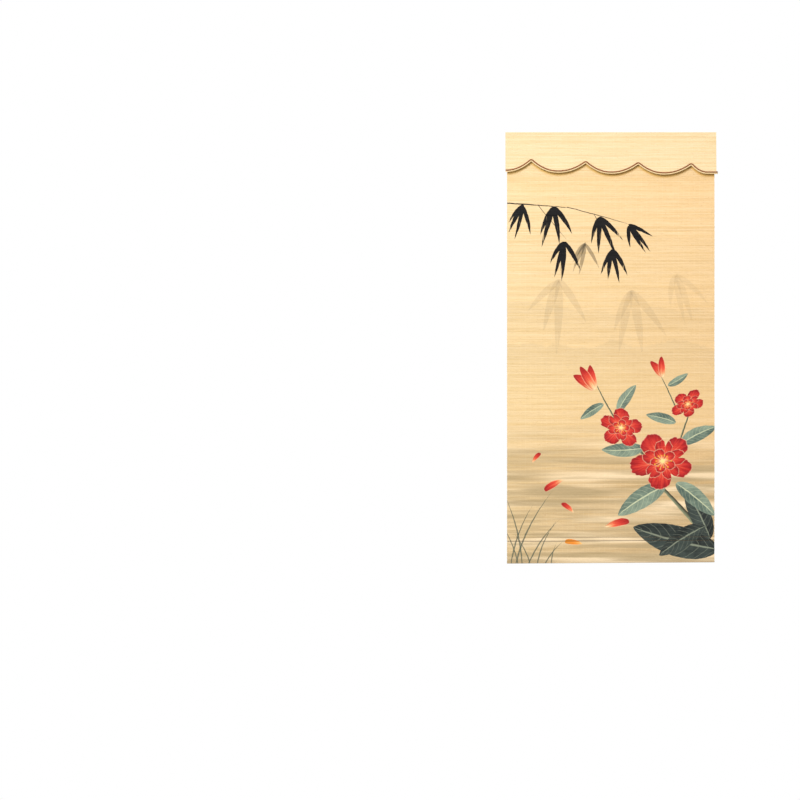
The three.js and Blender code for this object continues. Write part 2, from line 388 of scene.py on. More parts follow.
def stitches(name, centres, facing, length, radius):
    """Many stitches in one mesh: each is a short round thread along X that dips into the cloth at both
    ends. Facing is 1 for a stitch on the front and -1 for one on the back, which is the same thread turned
    half round."""
    along = np.linspace(-1, 1, STITCH_RINGS)
    angle = np.linspace(0, 2 * np.pi, STITCH_SIDES, endpoint=False)
    thick = radius * np.sqrt(1 - 0.96 * along ** 2)
    bow = radius * 0.9 * along ** 2
    x = np.broadcast_to((along * length / 2)[:, None], (STITCH_RINGS, STITCH_SIDES))
    y = bow[:, None] - thick[:, None] * np.cos(angle)
    z = thick[:, None] * np.sin(angle)
    one = np.stack([x, y, z], axis=-1).reshape(-1, 3)
    ids = np.arange(x.size).reshape(x.shape)
    tube = grid_faces(np.concatenate([ids, ids[:, :1]], axis=1))
    around = np.stack([facing, facing, np.ones(len(centres))], axis=-1)
    points = (centres[:, None] + around[:, None] * one).reshape(-1, 3)
    starts = np.arange(len(centres))[:, None, None] * x.size
    faces = (tube + starts).reshape(-1, 4).tolist()
    caps = np.stack([ids[0, ::-1], ids[-1]])
    faces += (caps + starts).reshape(-1, STITCH_SIDES).tolist()
    uv = np.stack(np.broadcast_arrays(((along + 1) * length / 2)[:, None], angle / (2 * np.pi)), axis=-1)
    return piece(name, points, faces, np.tile(uv.reshape(-1, 2), (len(centres), 1)))


def hem_drop(x, row):
    """Drop of a line of the hem: the cloth's drop less the line's height over the bottom fold, and less
    again in proportion to x, as the bottom edge rises to the right."""
    return (CLOTH_DROP - row) * (1 - x / CLOTH_WIDTH * BOTTOM_RISE / CLOTH_DROP)


def seam_points(low, high, drop_at, y_at, spacing):
    """Places of the stitches of one seam, evenly spaced in X, each at the cloth's own drop and surface
    there."""
    x = np.arange(low + spacing, high - spacing, spacing)
    x = x + chance.uniform(-STITCH_SHIFT, STITCH_SHIFT, len(x)) * MM
    drop = drop_at(x)
    return np.stack([x, y_at(x, drop), -drop], axis=-1)


# Finishes. A colour is written as it shows in the render, and LIGHT_GAIN takes off what the light adds.
LIGHT_GAIN = 1.5
COLOUR_A, COLOUR_B = 6, 7
COLOUR_MIX = {"out": 2, "data_type": "RGBA"}
DOT = {"operation": "DOT_PRODUCT", "out": "Value"}
SMOOTH = {"interpolation_type": "SMOOTHSTEP"}

THREAD_PITCH = 20 * MM
# Width over which a printed edge fades, which is what the cloth's threads and fibres do to a print
PRINT_EDGE = 0.7 * MM
# Brush strokes waver within this reach, over this length, and have hairs and washes of these sizes
WAVER_REACH = 4 * MM
WAVER_LENGTH = 20 * MM
HAIR_WIDTH = 5 * MM
HAIR_LENGTH = 60 * MM
WASH_SPOT = 50 * MM
# A petal's angle times this places its streaks, so that no two petals have the same
STREAK_SHIFT = 0.23
PETALS = 5.0
STAMENS = 14
# Added to an angle counted in petals or stamens, so that the count is never below 0
WHOLE_TURNS = 20.0
INK = "#070606"
REED_TONE, REED_INK = "#4c5748", 0.8
# The trim's drop is divided by this scale in the curve of the painted shadow under it, whose points are every
# eighth of the trim line's
TRIM_SCALE = 200 * MM
TRIM_SHADOW_STEP = 8
# Painted shadow of the valance: a golden shade on the sticks that fades out between these drops below the
# trim
TRIM_SHADOW_FULL = 8 * MM
TRIM_SHADOW_END = 20 * MM
TRIM_SHADOW_TONE = (0.88, 0.74, 0.38, 1)

# Sticks: lengths over which their tones change, and how much of the tone each kind of change makes up
DRIFT_LENGTH = 110 * MM
FIBRE_LENGTH = 14 * MM
FIBRES_TO_STICK = 5.0
JOINT_SPACING = 290 * MM
OWN_SHARE, DRIFT_SHARE, FIBRE_SHARE = 0.34, 0.84, 0.32
PALE_STICK = (1, 1, 1, 1)
DEEP_STICK = (0.81, 0.72, 0.50, 1)
GROOVE_SHADE = 0.8

# Cord yarns repeat along the cord at this length, and soiled places are about this long
YARN_REPEAT = 1.6 * MM
SOIL_LENGTH = 6 * MM


def tint(code):
    """Linear colour of a surface that shows the sRGB hex value under the scene's light."""
    parts = np.array([int(code[k:k + 2], 16) for k in (1, 3, 5)]) / 255
    linear = np.where(parts <= 0.04045, parts / 12.92, ((parts + 0.055) / 1.055) ** 2.4)
    return (*(linear / LIGHT_GAIN).tolist(), 1.0)


def add(tree, kind, inputs=(), operation=None, out=0, **settings):
    """Add a node with its settings and return one of its outputs. Inputs are values, or outputs to link, by
    socket: a list fills the sockets in order. Stops are a ramp's colours by place, and curve is a float
    curve's points."""
    node = tree.nodes.new("ShaderNode" + kind)
    if operation:
        node.operation = operation
    for name, value in settings.items():
        if name == "stops":
            ramp = node.color_ramp.elements
            for k, (position, colour) in enumerate(value.items()):
                stop = ramp[k] if k < 2 else ramp.new(position)
                stop.position, stop.color = position, colour
        elif name == "curve":
            points = node.mapping.curves[0].points
            for k, (position, height) in enumerate(value):
                point = points[k] if k < 2 else points.new(position, height)
                point.location, point.handle_type = (position, height), "VECTOR"
            node.mapping.update()
        else:
            setattr(node, name, value)
    for socket, value in inputs.items() if isinstance(inputs, dict) else enumerate(inputs):
        if isinstance(value, bpy.types.NodeSocket):
            tree.links.new(value, node.inputs[socket])
        elif value is not None:
            node.inputs[socket].default_value = value
    return node.outputs[out]


def finish(name, **shader_values):
    """A material with a principled shader: returns the material, its tree and the shader's inputs."""
    material = bpy.data.materials.new(name)
    material.use_nodes = True
    tree = material.node_tree
    shader = tree.nodes["Principled BSDF"]
    for socket, value in shader_values.items():
        shader.inputs[socket.replace("_", " ")].default_value = value
    return material, tree, shader.inputs


def parted(tree, value):
    """A value cut into whole steps: the number of the step it is in, and how far it is past the step's
    middle."""
    number = add(tree, "Math", [value], "FLOOR")
    offset = add(tree, "Math", [value, number], "SUBTRACT")
    return number, add(tree, "Math", [offset, 0.5], "SUBTRACT")


def group(name, inputs, outputs):
    """A node group: returns it with its input sockets and its output sockets, as seen from inside."""
    made = bpy.data.node_groups.new(name, "ShaderNodeTree")
    for side, sockets in (("INPUT", inputs), ("OUTPUT", outputs)):
        for socket, kind in sockets.items():
            made.interface.new_socket(socket, in_out=side, socket_type="NodeSocket" + kind)
    return made, made.nodes.new("NodeGroupInput").outputs, made.nodes.new("NodeGroupOutput").inputs


def brush_shape():
    """One brush stroke: a blade from its root to its tip. Its half width is
    along^root_taper (1 - along)^tip_taper, and its middle bends aside with the square of along."""
    made, given, result = group(
        "brush_shape",
        {"Place": "Vector", "Root": "Vector", "Forward": "Vector", "Sideways": "Vector", "Bend": "Float",
         "Root taper": "Float", "Tip taper": "Float", "Crisp": "Float"},
        {"Mask": "Float", "Along": "Float", "Beside": "Float"})
    local = add(made, "VectorMath", [given["Place"], given["Root"]], "SUBTRACT")
    forward = add(made, "VectorMath", [local, given["Forward"]], **DOT)
    aside = add(made, "VectorMath", [local, given["Sideways"]], **DOT)
    along = add(made, "Math", [forward, 0.0], "MAXIMUM", use_clamp=True)
    bent = add(made, "Math", [along, 2.0], "POWER")
    bent = add(made, "Math", [bent, given["Bend"]], "MULTIPLY")
    off = add(made, "Math", [aside, bent], "SUBTRACT")
    rise = add(made, "Math", [along, given["Root taper"]], "POWER")
    left = add(made, "Math", [1.0, along], "SUBTRACT")
    fall = add(made, "Math", [left, given["Tip taper"]], "POWER")
    half = add(made, "Math", [rise, fall], "MULTIPLY")
    aside = add(made, "Math", [off], "ABSOLUTE")
    inside = add(made, "Math", [half, aside], "SUBTRACT")
    mask = add(made, "Math", [inside, given["Crisp"]], "MULTIPLY", use_clamp=True)
    wide = add(made, "Math", [half, 0.03], "MAXIMUM")
    beside = add(made, "Math", [off, wide], "DIVIDE")
    for socket, value in (("Mask", mask), ("Along", along), ("Beside", beside)):
        made.links.new(value, result[socket])
    return made


def petal_paint():
    """Colour of a painted petal: pale at its root, coral, then deep red at its tip, with fine streaks that
    run lengthwise, a darker side, and a thin pale rim."""
    made, given, result = group(
        "petal_paint",
        {"Along": "Float", "Beside": "Float", "Seed": "Float", "Golden": "Float"},
        {"Colour": "Color"})
    fan = add(made, "Math", [given["Beside"], 7.0], "MULTIPLY")
    slow = add(made, "Math", [given["Along"], 1.8], "MULTIPLY")
    spot = add(made, "CombineXYZ", [fan, slow, given["Seed"]])
    streak = add(made, "TexNoise", {"Vector": spot, "Scale": 1.0, "Detail": 2.0, "Roughness": 0.6})
    reach = add(made, "Math", [streak, 0.9, given["Along"]], "MULTIPLY_ADD")
    reach = add(made, "Math", [reach, 0.45], "SUBTRACT")
    colour = add(made, "ValToRGB", [reach], stops={
        0.0: tint("#f7dfb0"), 0.16: tint("#f1ab74"), 0.38: tint("#e2593d"), 0.66: tint("#c93226"),
        1.0: tint("#95191a")})
    side = add(made, "MapRange", [given["Beside"], 0.1, 1.0, 0.0, 0.5])
    colour = add(made, "Mix", {0: side, COLOUR_A: colour, COLOUR_B: tint("#9a1c1b")}, **COLOUR_MIX)
    colour = add(made, "Mix", {0: given["Golden"], COLOUR_A: colour, COLOUR_B: tint("#f0a62c")}, **COLOUR_MIX)
    edge = add(made, "Math", [given["Beside"]], "ABSOLUTE")
    edge = add(made, "MapRange", [edge, 0.84, 0.95, 0.0, 0.75])
    colour = add(made, "Mix", {0: edge, COLOUR_A: colour, COLOUR_B: tint("#f6bf98")}, **COLOUR_MIX)
    made.links.new(colour, result["Colour"])
    return made


def leaf_paint():
    """Colour of a painted leaf: two tones either side of its midrib, paler side veins that slant to the
    tip, and mottled washes."""
    made, given, result = group(
        "leaf_paint",
        {"Along": "Float", "Beside": "Float", "Wash": "Float", "Dark": "Color", "Light": "Color",
         "Vein": "Color"},
        {"Colour": "Color"})
    half = add(made, "MapRange", [given["Beside"], -0.12, 0.2, 0.05, 0.42])
    tone = add(made, "Math", [given["Wash"], 1.8, half], "MULTIPLY_ADD")
    tone = add(made, "Math", [tone, 0.65], "SUBTRACT", use_clamp=True)
    colour = add(made, "Mix", {0: tone, COLOUR_A: given["Dark"], COLOUR_B: given["Light"]}, **COLOUR_MIX)
    aside = add(made, "Math", [given["Beside"]], "ABSOLUTE")
    slant = add(made, "Math", [aside, 1.5], "POWER")
    slant = add(made, "Math", [slant, -1.5], "MULTIPLY")
    run = add(made, "Math", [given["Along"], 9.0, slant], "MULTIPLY_ADD")
    slanted = add(made, "Math", [run, 0.5], "PINGPONG")
    vein = add(made, "MapRange", [slanted, 0.06, 0.0, 0.0, 0.55])
    midrib = add(made, "MapRange", [aside, 0.1, 0.03, 0.0, 0.85])
    vein = add(made, "Math", [vein, midrib], "MAXIMUM")
    colour = add(made, "Mix", {0: vein, COLOUR_A: colour, COLOUR_B: given["Vein"]}, **COLOUR_MIX)
    made.links.new(colour, result["Colour"])
    return made


def petal_ring():
    """A ring of broad petals round a centre, in a place where a petal's tip is 1 away: the angle is cut
    into equal parts, each a petal whose outline falls off to both sides, with ruffled edges and its own
    length."""
    made, given, result = group(
        "petal_ring",
        {"Place": "Vector", "Petals": "Float", "Phase": "Float", "Reach": "Float", "Seed": "Float",
         "Crisp": "Float"},
        {"Mask": "Float", "Colour": "Color"})
    x = add(made, "VectorMath", [given["Place"], (1, 0, 0)], **DOT)
    z = add(made, "VectorMath", [given["Place"], (0, 0, 1)], **DOT)
    radius = add(made, "VectorMath", [given["Place"]], "LENGTH", out="Value")
    angle = add(made, "Math", [z, x], "ARCTAN2")
    share = add(made, "Math", [angle, 1 / (2 * math.pi)], "MULTIPLY")
    share = add(made, "Math", [share, given["Petals"], given["Phase"]], "MULTIPLY_ADD")
    share = add(made, "Math", [share, WHOLE_TURNS], "ADD")
    petal, fold = parted(made, share)
    petal = add(made, "Math", [petal, given["Petals"]], "FLOORED_MODULO")
    own = add(made, "Math", [petal, 1.37, given["Seed"]], "MULTIPLY_ADD")
    length = add(made, "TexWhiteNoise", {"W": own}, noise_dimensions="1D")
    aside = add(made, "Math", [fold], "ABSOLUTE")
    aside = add(made, "Math", [aside, 2.0], "MULTIPLY")
    dent = add(made, "Math", [aside, 2.6], "POWER")
    spot = add(made, "CombineXYZ", [fold, own, 0.0])
    spot = add(made, "VectorMath", [spot, (9.0, 3.1, 1.0)], "MULTIPLY")
    ruffle = add(made, "TexNoise", {"Vector": spot, "Scale": 1.0, "Detail": 1.0})
    outline = add(made, "Math", [dent, -0.42, 0.78], "MULTIPLY_ADD")
    outline = add(made, "Math", [length, 0.16, outline], "MULTIPLY_ADD")
    outline = add(made, "Math", [ruffle, 0.16, outline], "MULTIPLY_ADD")
    outline = add(made, "Math", [outline, given["Reach"]], "MULTIPLY")
    inside = add(made, "Math", [outline, radius], "SUBTRACT")
    mask = add(made, "Math", [inside, given["Crisp"]], "MULTIPLY", use_clamp=True)
    along = add(made, "Math", [radius, outline], "DIVIDE")
    rim = add(made, "MapRange", [inside, 0.03, 0.005, 0.0, 0.7])
    spot = add(made, "CombineXYZ", [fold, along, own])
    spot = add(made, "VectorMath", [spot, (17.0, 1.5, 5.3)], "MULTIPLY")
    streak = add(made, "TexNoise", {"Vector": spot, "Scale": 1.0, "Detail": 3.0, "Roughness": 0.65})
    tone = add(made, "Math", [streak, 1.2, along], "MULTIPLY_ADD")
    tone = add(made, "Math", [tone, 0.64], "SUBTRACT")
    colour = add(made, "ValToRGB", [tone], stops={
        0.0: tint("#f8e4b0"), 0.14: tint("#f3b384"), 0.32: tint("#e8674a"), 0.56: tint("#d23a2c"),
        0.8: tint("#b82321"), 1.0: tint("#93171b")})
    under = add(made, "MapRange", [fold, 0.18, 0.5, 0.0, 0.8], **SMOOTH)
    colour = add(made, "Mix", {0: under, COLOUR_A: colour, COLOUR_B: tint("#87151a")}, **COLOUR_MIX)
    over = add(made, "MapRange", [fold, -0.44, -0.49, 0.0, 0.6])
    rim = add(made, "Math", [rim, over], "MAXIMUM")
    colour = add(made, "Mix", {0: rim, COLOUR_A: colour, COLOUR_B: tint("#f8c8a4")}, **COLOUR_MIX)
    made.links.new(mask, result["Mask"])
    made.links.new(colour, result["Colour"])
    return made


def bloom(ring):
    """An open flower: an outer ring of petals, a smaller one over it, and fine yellow stamens round the
    centre."""
    made, given, result = group(
        "bloom",
        {"Place": "Vector", "Centre": "Vector", "Forward": "Vector", "Sideways": "Vector", "Seed": "Float",
         "Crisp": "Float"},
        {"Mask": "Float", "Colour": "Color"})
    local = add(made, "VectorMath", [given["Place"], given["Centre"]], "SUBTRACT")
    x = add(made, "VectorMath", [local, given["Forward"]], **DOT)
    z = add(made, "VectorMath", [local, given["Sideways"]], **DOT)
    local = add(made, "CombineXYZ", [x, 0.0, z])
    outer = add(made, "Group", [local, PETALS, 0.0, 1.0, given["Seed"], given["Crisp"]], node_tree=ring)
    colour = outer.node.outputs["Colour"]
    for phase, reach in ((0.45, 0.7), (0.1, 0.42)):
        seed = add(made, "Math", [given["Seed"], 10 * reach], "ADD")
        inner = add(made, "Group", [local, PETALS, phase, reach, seed, given["Crisp"]], node_tree=ring)
        paint = inner.node.outputs["Colour"]
        colour = add(made, "Mix", {0: inner, COLOUR_A: colour, COLOUR_B: paint}, **COLOUR_MIX)
    radius = add(made, "VectorMath", [local], "LENGTH", out="Value")
    angle = add(made, "Math", [z, x], "ARCTAN2")
    share = add(made, "Math", [angle, STAMENS / (2 * math.pi)], "MULTIPLY")
    share = add(made, "Math", [share, WHOLE_TURNS], "ADD")
    stamen, fold = parted(made, share)
    reach = add(made, "TexWhiteNoise", {"W": stamen}, noise_dimensions="1D")
    reach = add(made, "MapRange", [reach, 0.0, 1.0, 0.15, 0.27])
    sideways = add(made, "Math", [fold, radius], "MULTIPLY")
    sideways = add(made, "Math", [sideways, 2 * math.pi / STAMENS], "MULTIPLY")
    onward = add(made, "Math", [radius, reach], "SUBTRACT")
    offset = add(made, "CombineXYZ", [sideways, onward, 0.0])
    gap = add(made, "VectorMath", [offset], "LENGTH", out="Value")
    anther = add(made, "MapRange", [gap, 0.03, 0.018, 0.0, 1.0])
    thin = add(made, "Math", [sideways], "ABSOLUTE")
    thread = add(made, "MapRange", [thin, 0.009, 0.004, 0.0, 0.8])
    short = add(made, "MapRange", [onward, 0.0, -0.01, 0.0, 1.0])
    thread = add(made, "Math", [thread, short], "MULTIPLY")
    eye = add(made, "MapRange", [radius, 0.08, 0.05, 0.0, 1.0])
    thread = add(made, "Math", [thread, eye], "MAXIMUM")
    colour = add(made, "Mix", {0: thread, COLOUR_A: colour, COLOUR_B: tint("#f2d98c")}, **COLOUR_MIX)
    colour = add(made, "Mix", {0: anther, COLOUR_A: colour, COLOUR_B: tint("#e3a233")}, **COLOUR_MIX)
    made.links.new(outer, result["Mask"])
    made.links.new(colour, result["Colour"])
    return made


def table(columns, *rows):
    """Rows of values as dictionaries by the names of their columns."""
    return [dict(zip(columns, row)) for row in rows]


# The picture: millimetres from the cloth's left edge and top, and angles anticlockwise from the right
TAPERS = {
    "blade": (0.45, 0.95),
    "leaf": (0.6, 0.75),
    "petal": (0.75, 0.36),
    "bud": (0.5, 0.6),
    "stem": (0.02, 0.25),
}
STROKE = ("across", "drop", "length", "width", "angle", "bend")
SPRAY_STEMS = table(STROKE,
    (-14, 268, 250, 5.0, -3, -2.0),
    (228, 284, 246, 3.6, -14, -3.0),
    (118, 276, 170, 2.8, -52, 3.0),
    (330, 312, 150, 2.6, -60, 3.0))
SPRAY_CLUSTERS = table(("across", "drop", "size", "lean", "ink"),
    (196, 560, 236, -96, 0.12),
    (470, 600, 250, -84, 0.10),
    (640, 540, 190, -70, 0.08),
    (296, 420, 118, -100, 0.5),
    (60, 276, 128, -104, 1.0),
    (176, 282, 156, -86, 1.0),
    (218, 414, 142, -92, 1.0),
    (352, 322, 146, -76, 1.0),
    (398, 446, 132, -82, 1.0),
    (462, 352, 124, -52, 1.0))
CLUSTER_LEAVES = table(("turn", "length", "width", "bend"),
    (-42, 0.72, 0.12, 0.9),
    (-16, 1.0, 0.13, 0.4),
    (9, 1.1, 0.135, -0.4),
    (38, 0.84, 0.125, -0.8))
BRANCHES = table(STROKE,
    (812, 1604, 380, 19, 128, 2.2),
    (600, 1330, 330, 12, 127, 2.0),
    (412, 1090, 150, 6.5, 122, -2.5),
    (618, 1290, 300, 8, 74, -3.0),
    (646, 1060, 150, 5.5, 112, 2.5))
INK_LEAVES = table(STROKE,
    (800, 1580, 330, 118, 172, -0.25),
    (770, 1540, 210, 78, 110, 0.25),
    (752, 1492, 206, 72, 205, 0.3))
SAGE_LEAVES = table(STROKE,
    (600, 1340, 210, 76, 204, 0.3),
    (640, 1330, 190, 66, 328, -0.3),
    (520, 1196, 160, 54, 190, -0.3),
    (660, 1180, 146, 54, 34, -0.3),
    (640, 1100, 116, 40, 158, 0.3),
    (420, 1060, 122, 42, 66, -0.4),
    (366, 1030, 104, 35, 206, 0.3),
    (610, 960, 88, 29, 24, 0.3))
CALYXES = table(STROKE,
    (332, 974, 40, 17, 152, -0.6),
    (332, 974, 42, 17, 94, 0.6),
    (590, 926, 34, 14, 134, -0.6),
    (590, 926, 34, 14, 76, 0.6))
BUD_PETALS = table(STROKE,
    (332, 976, 96, 40, 136, 0.35),
    (332, 976, 94, 36, 108, -0.3),
    (332, 976, 104, 34, 122, 0.0),
    (590, 928, 74, 31, 118, 0.35),
    (590, 928, 78, 28, 98, -0.2))
BLOOMS = table(("across", "drop", "radius", "squash", "angle", "seed"),
    (686, 1030, 70, 0.74, 30, 3.0),
    (432, 1120, 92, 0.84, -24, 11.0),
    (590, 1246, 132, 0.88, 12, 23.0))
FALLING_PETALS = table(STROKE + ("golden",),
    (214, 1318, 80, 27, 198, 0.5, 0.0),
    (372, 1496, 92, 31, 24, -0.5, 0.0),
    (252, 1442, 56, 20, 128, 0.6, 0.0),
    (96, 1252, 46, 17, 62, -0.5, 0.0),
    (286, 1560, 66, 22, 164, 0.4, 0.6))
HILLS = table(("level", "height", "length", "strength"),
    (-0.66, 0.16, 0.3, 0.10),
    (-0.80, 0.12, 0.19, 0.13))
MIST_TOP, MIST_FULL = -1.04, -1.36
MIST = table(("long", "deep", "shift", "strength", "tone"),
    (0.50, 0.040, 7.0, 0.65, "#f6dfba"),
    (0.46, 0.030, 0.0, 0.85, "#b09a72"),
    (0.22, 0.012, 3.0, 0.45, "#a89269"))
REEDS = table(STROKE,
    (14, 1652, 262, 6.0, 84, -9.0),
    (30, 1652, 330, 6.5, 78, -11.0),
    (44, 1650, 190, 5.5, 99, 7.0),
    (58, 1652, 292, 6.5, 92, 8.0),
    (76, 1652, 226, 6.0, 70, -8.0),
    (92, 1650, 150, 5.0, 104, 6.0),
    (112, 1652, 206, 5.5, 82, -9.0),
    (138, 1650, 128, 5.0, 66, -5.0),
    (168, 1652, 104, 4.5, 92, -5.0))


def axes(angle, length, width):
    """Two vectors in the cloth's plane, along an angle and to its left, that measure in lengths and
    widths."""
    turn = math.radians(angle)
    forward = (math.cos(turn) / length, 0.0, math.sin(turn) / length)
    return forward, (-math.sin(turn) / width, 0.0, math.cos(turn) / width)


def stroke(tree, shape, place, kind, row):
    """A stroke of the picture, from its row of the tables: the blade's half width is scaled so that its
    fullest part has the row's width."""
    root_taper, tip_taper = TAPERS[kind]
    whole = root_taper + tip_taper
    fullest = (root_taper / whole) ** root_taper * (tip_taper / whole) ** tip_taper
    half = row["width"] * MM / 2 / fullest
    root = (row["across"] * MM - CLOTH_WIDTH / 2, 0.0, -row["drop"] * MM)
    forward, sideways = axes(row["angle"], row["length"] * MM, half)
    values = [place, root, forward, sideways, row["bend"], root_taper, tip_taper, half / PRINT_EDGE]
    return add(tree, "Group", values, node_tree=shape).node.outputs


def picture(tree, ground):
    """The print over the sticks' own colour: hills and mist as thin washes, then the ink spray and the
    reeds, the flowering branch and the loose petals, each laid over what is under it."""
    shape, petal, leaf, ring = brush_shape(), petal_paint(), leaf_paint(), petal_ring()
    flower = bloom(ring)
    still = add(tree, "TexCoord", out="Object")
    waver = add(tree, "TexNoise", {"Vector": still, "Scale": 1 / WAVER_LENGTH, "Detail": 2.0}, out="Color")
    waver = add(tree, "VectorMath", [waver, (0.5, 0.5, 0.5)], "SUBTRACT")
    waver = add(tree, "VectorMath", {0: waver, "Scale": WAVER_REACH}, "SCALE")
    place = add(tree, "VectorMath", [still, waver], "ADD")
    x = add(tree, "SeparateXYZ", [still])
    z = x.node.outputs["Z"]
    colour = ground

    def lay(mask, over, strength=1.0):
        nonlocal colour
        if strength < 1.0:
            mask = add(tree, "Math", [mask, strength], "MULTIPLY")
        colour = add(tree, "Mix", {0: mask, COLOUR_A: colour, COLOUR_B: over}, **COLOUR_MIX)

    def here():
        """The place, tied to the layers so far, so that the renderer works the marks out one after another
        and its memory for one material is enough."""
        return add(tree, "VectorMath", [colour, (1e-9, 1e-9, 1e-9), place], "MULTIPLY_ADD")

    # Distant hills, a faint grey wash that fades downwards
    for row in HILLS:
        level, height = row["level"], row["height"]
        along = add(tree, "Math", [x, 1 / row["length"], level * 31], "MULTIPLY_ADD")
        ridge = add(tree, "TexNoise", {"W": along, "Scale": 1.0, "Detail": 4.0}, noise_dimensions="1D")
        ridge = add(tree, "Math", [ridge, height, level - height / 2], "MULTIPLY_ADD")
        under = add(tree, "Math", [ridge, z], "SUBTRACT")
        top = add(tree, "MapRange", [under, 0.0, 0.012, 0.0, 1.0], **SMOOTH)
        fade = add(tree, "MapRange", [under, 0.02, 0.22, 1.0, 0.0], **SMOOTH)
        hill = add(tree, "Math", [top, fade], "MULTIPLY")
        lay(hill, tint("#8b8670"), row["strength"])

    # Bands of mist, long and level, coming in from about two thirds down: light ones first, then darker ones
    low = add(tree, "MapRange", [z, MIST_TOP, MIST_FULL, 0.0, 1.0], **SMOOTH)
    for row in MIST:
        stretch = (1 / row["long"], 0.0, 1 / row["deep"])
        spot = add(tree, "VectorMath", [still, stretch, (row["shift"],) * 3], "MULTIPLY_ADD")
        bands = add(tree, "TexNoise", {"Vector": spot, "Scale": 1.0, "Detail": 1.0, "Roughness": 0.4})
        bands = add(tree, "MapRange", [bands, 0.44, 0.66, 0.0, 1.0], **SMOOTH)
        bands = add(tree, "Math", [bands, low], "MULTIPLY")
        lay(bands, tint(row["tone"]), row["strength"])

    # The ink spray: the hairs of the brush run down the leaves, and the ink thins towards each tip
    hairs = add(tree, "VectorMath", [place, (1 / HAIR_WIDTH, 0.0, 1 / HAIR_LENGTH)], "MULTIPLY")
    hairs = add(tree, "TexNoise", {"Vector": hairs, "Scale": 1.0, "Detail": 2.0})
    marks = [("stem", row, 1.0, INK) for row in SPRAY_STEMS]
    marks += [("blade", row, REED_INK, REED_TONE) for row in REEDS]
    for cluster in SPRAY_CLUSTERS:
        for leaf_row in CLUSTER_LEAVES:
            marks.append(("blade", {
                "across": cluster["across"] + hand.uniform(-3, 3),
                "drop": cluster["drop"] + hand.uniform(-3, 3),
                "length": cluster["size"] * leaf_row["length"] * hand.uniform(0.86, 1.12),
                "width": cluster["size"] * leaf_row["width"] * hand.uniform(0.9, 1.1),
                "angle": cluster["lean"] + leaf_row["turn"] + hand.uniform(-7, 7),
                "bend": leaf_row["bend"] * hand.uniform(0.6, 1.4),
            }, cluster["ink"], INK))
    for kind, row, ink, tone in marks:
        mark = stroke(tree, shape, here(), kind, row)
        dry = add(tree, "Math", [mark["Along"], -0.32, hairs], "MULTIPLY_ADD")
        dry = add(tree, "MapRange", [dry, 0.08, 0.2, 0.3 * ink, ink])
        mask = add(tree, "Math", [mark["Mask"], dry], "MULTIPLY")
        lay(mask, tint(tone))

    for row in BRANCHES:
        mark = stroke(tree, shape, here(), "stem", row)
        tone = add(tree, "MapRange", [mark["Beside"], -0.6, 0.7, 0.0, 1.0])
        bark = add(tree, "Mix", {0: tone, COLOUR_A: tint("#3c3a2c"), COLOUR_B: tint("#83886a")}, **COLOUR_MIX)
        lay(mark["Mask"], bark)

    wash = add(tree, "TexNoise", {"Vector": place, "Scale": 1 / WASH_SPOT, "Detail": 4.0, "Roughness": 0.6})
    leaves = (
        (INK_LEAVES, "#181c1b", "#414b45", "#8b917c"),
        (SAGE_LEAVES, "#475a52", "#93a28b", "#cfd2ab"),
        (CALYXES, "#4d5a3c", "#8d9668", "#c3c48f"),
    )
    for rows, dark, light, vein in leaves:
        for row in rows:
            mark = stroke(tree, shape, here(), "leaf", row)
            values = [mark["Along"], mark["Beside"], wash, tint(dark), tint(light), tint(vein)]
            lay(mark["Mask"], add(tree, "Group", values, node_tree=leaf))

    for kind, rows in (("bud", BUD_PETALS), ("petal", FALLING_PETALS)):
        for row in rows:
            mark = stroke(tree, shape, here(), kind, row)
            values = [mark["Along"], mark["Beside"], row["angle"] * STREAK_SHIFT, row.get("golden", 0.0)]
            lay(mark["Mask"], add(tree, "Group", values, node_tree=petal))

    for row in BLOOMS:
        centre = (row["across"] * MM - CLOTH_WIDTH / 2, 0.0, -row["drop"] * MM)
        radius = row["radius"] * MM
        forward, sideways = axes(row["angle"], radius, radius * row["squash"])
        values = [here(), centre, forward, sideways, row["seed"], radius / PRINT_EDGE]
        mark = add(tree, "Group", values, node_tree=flower).node.outputs
        lay(mark["Mask"], mark["Colour"])
    return colour


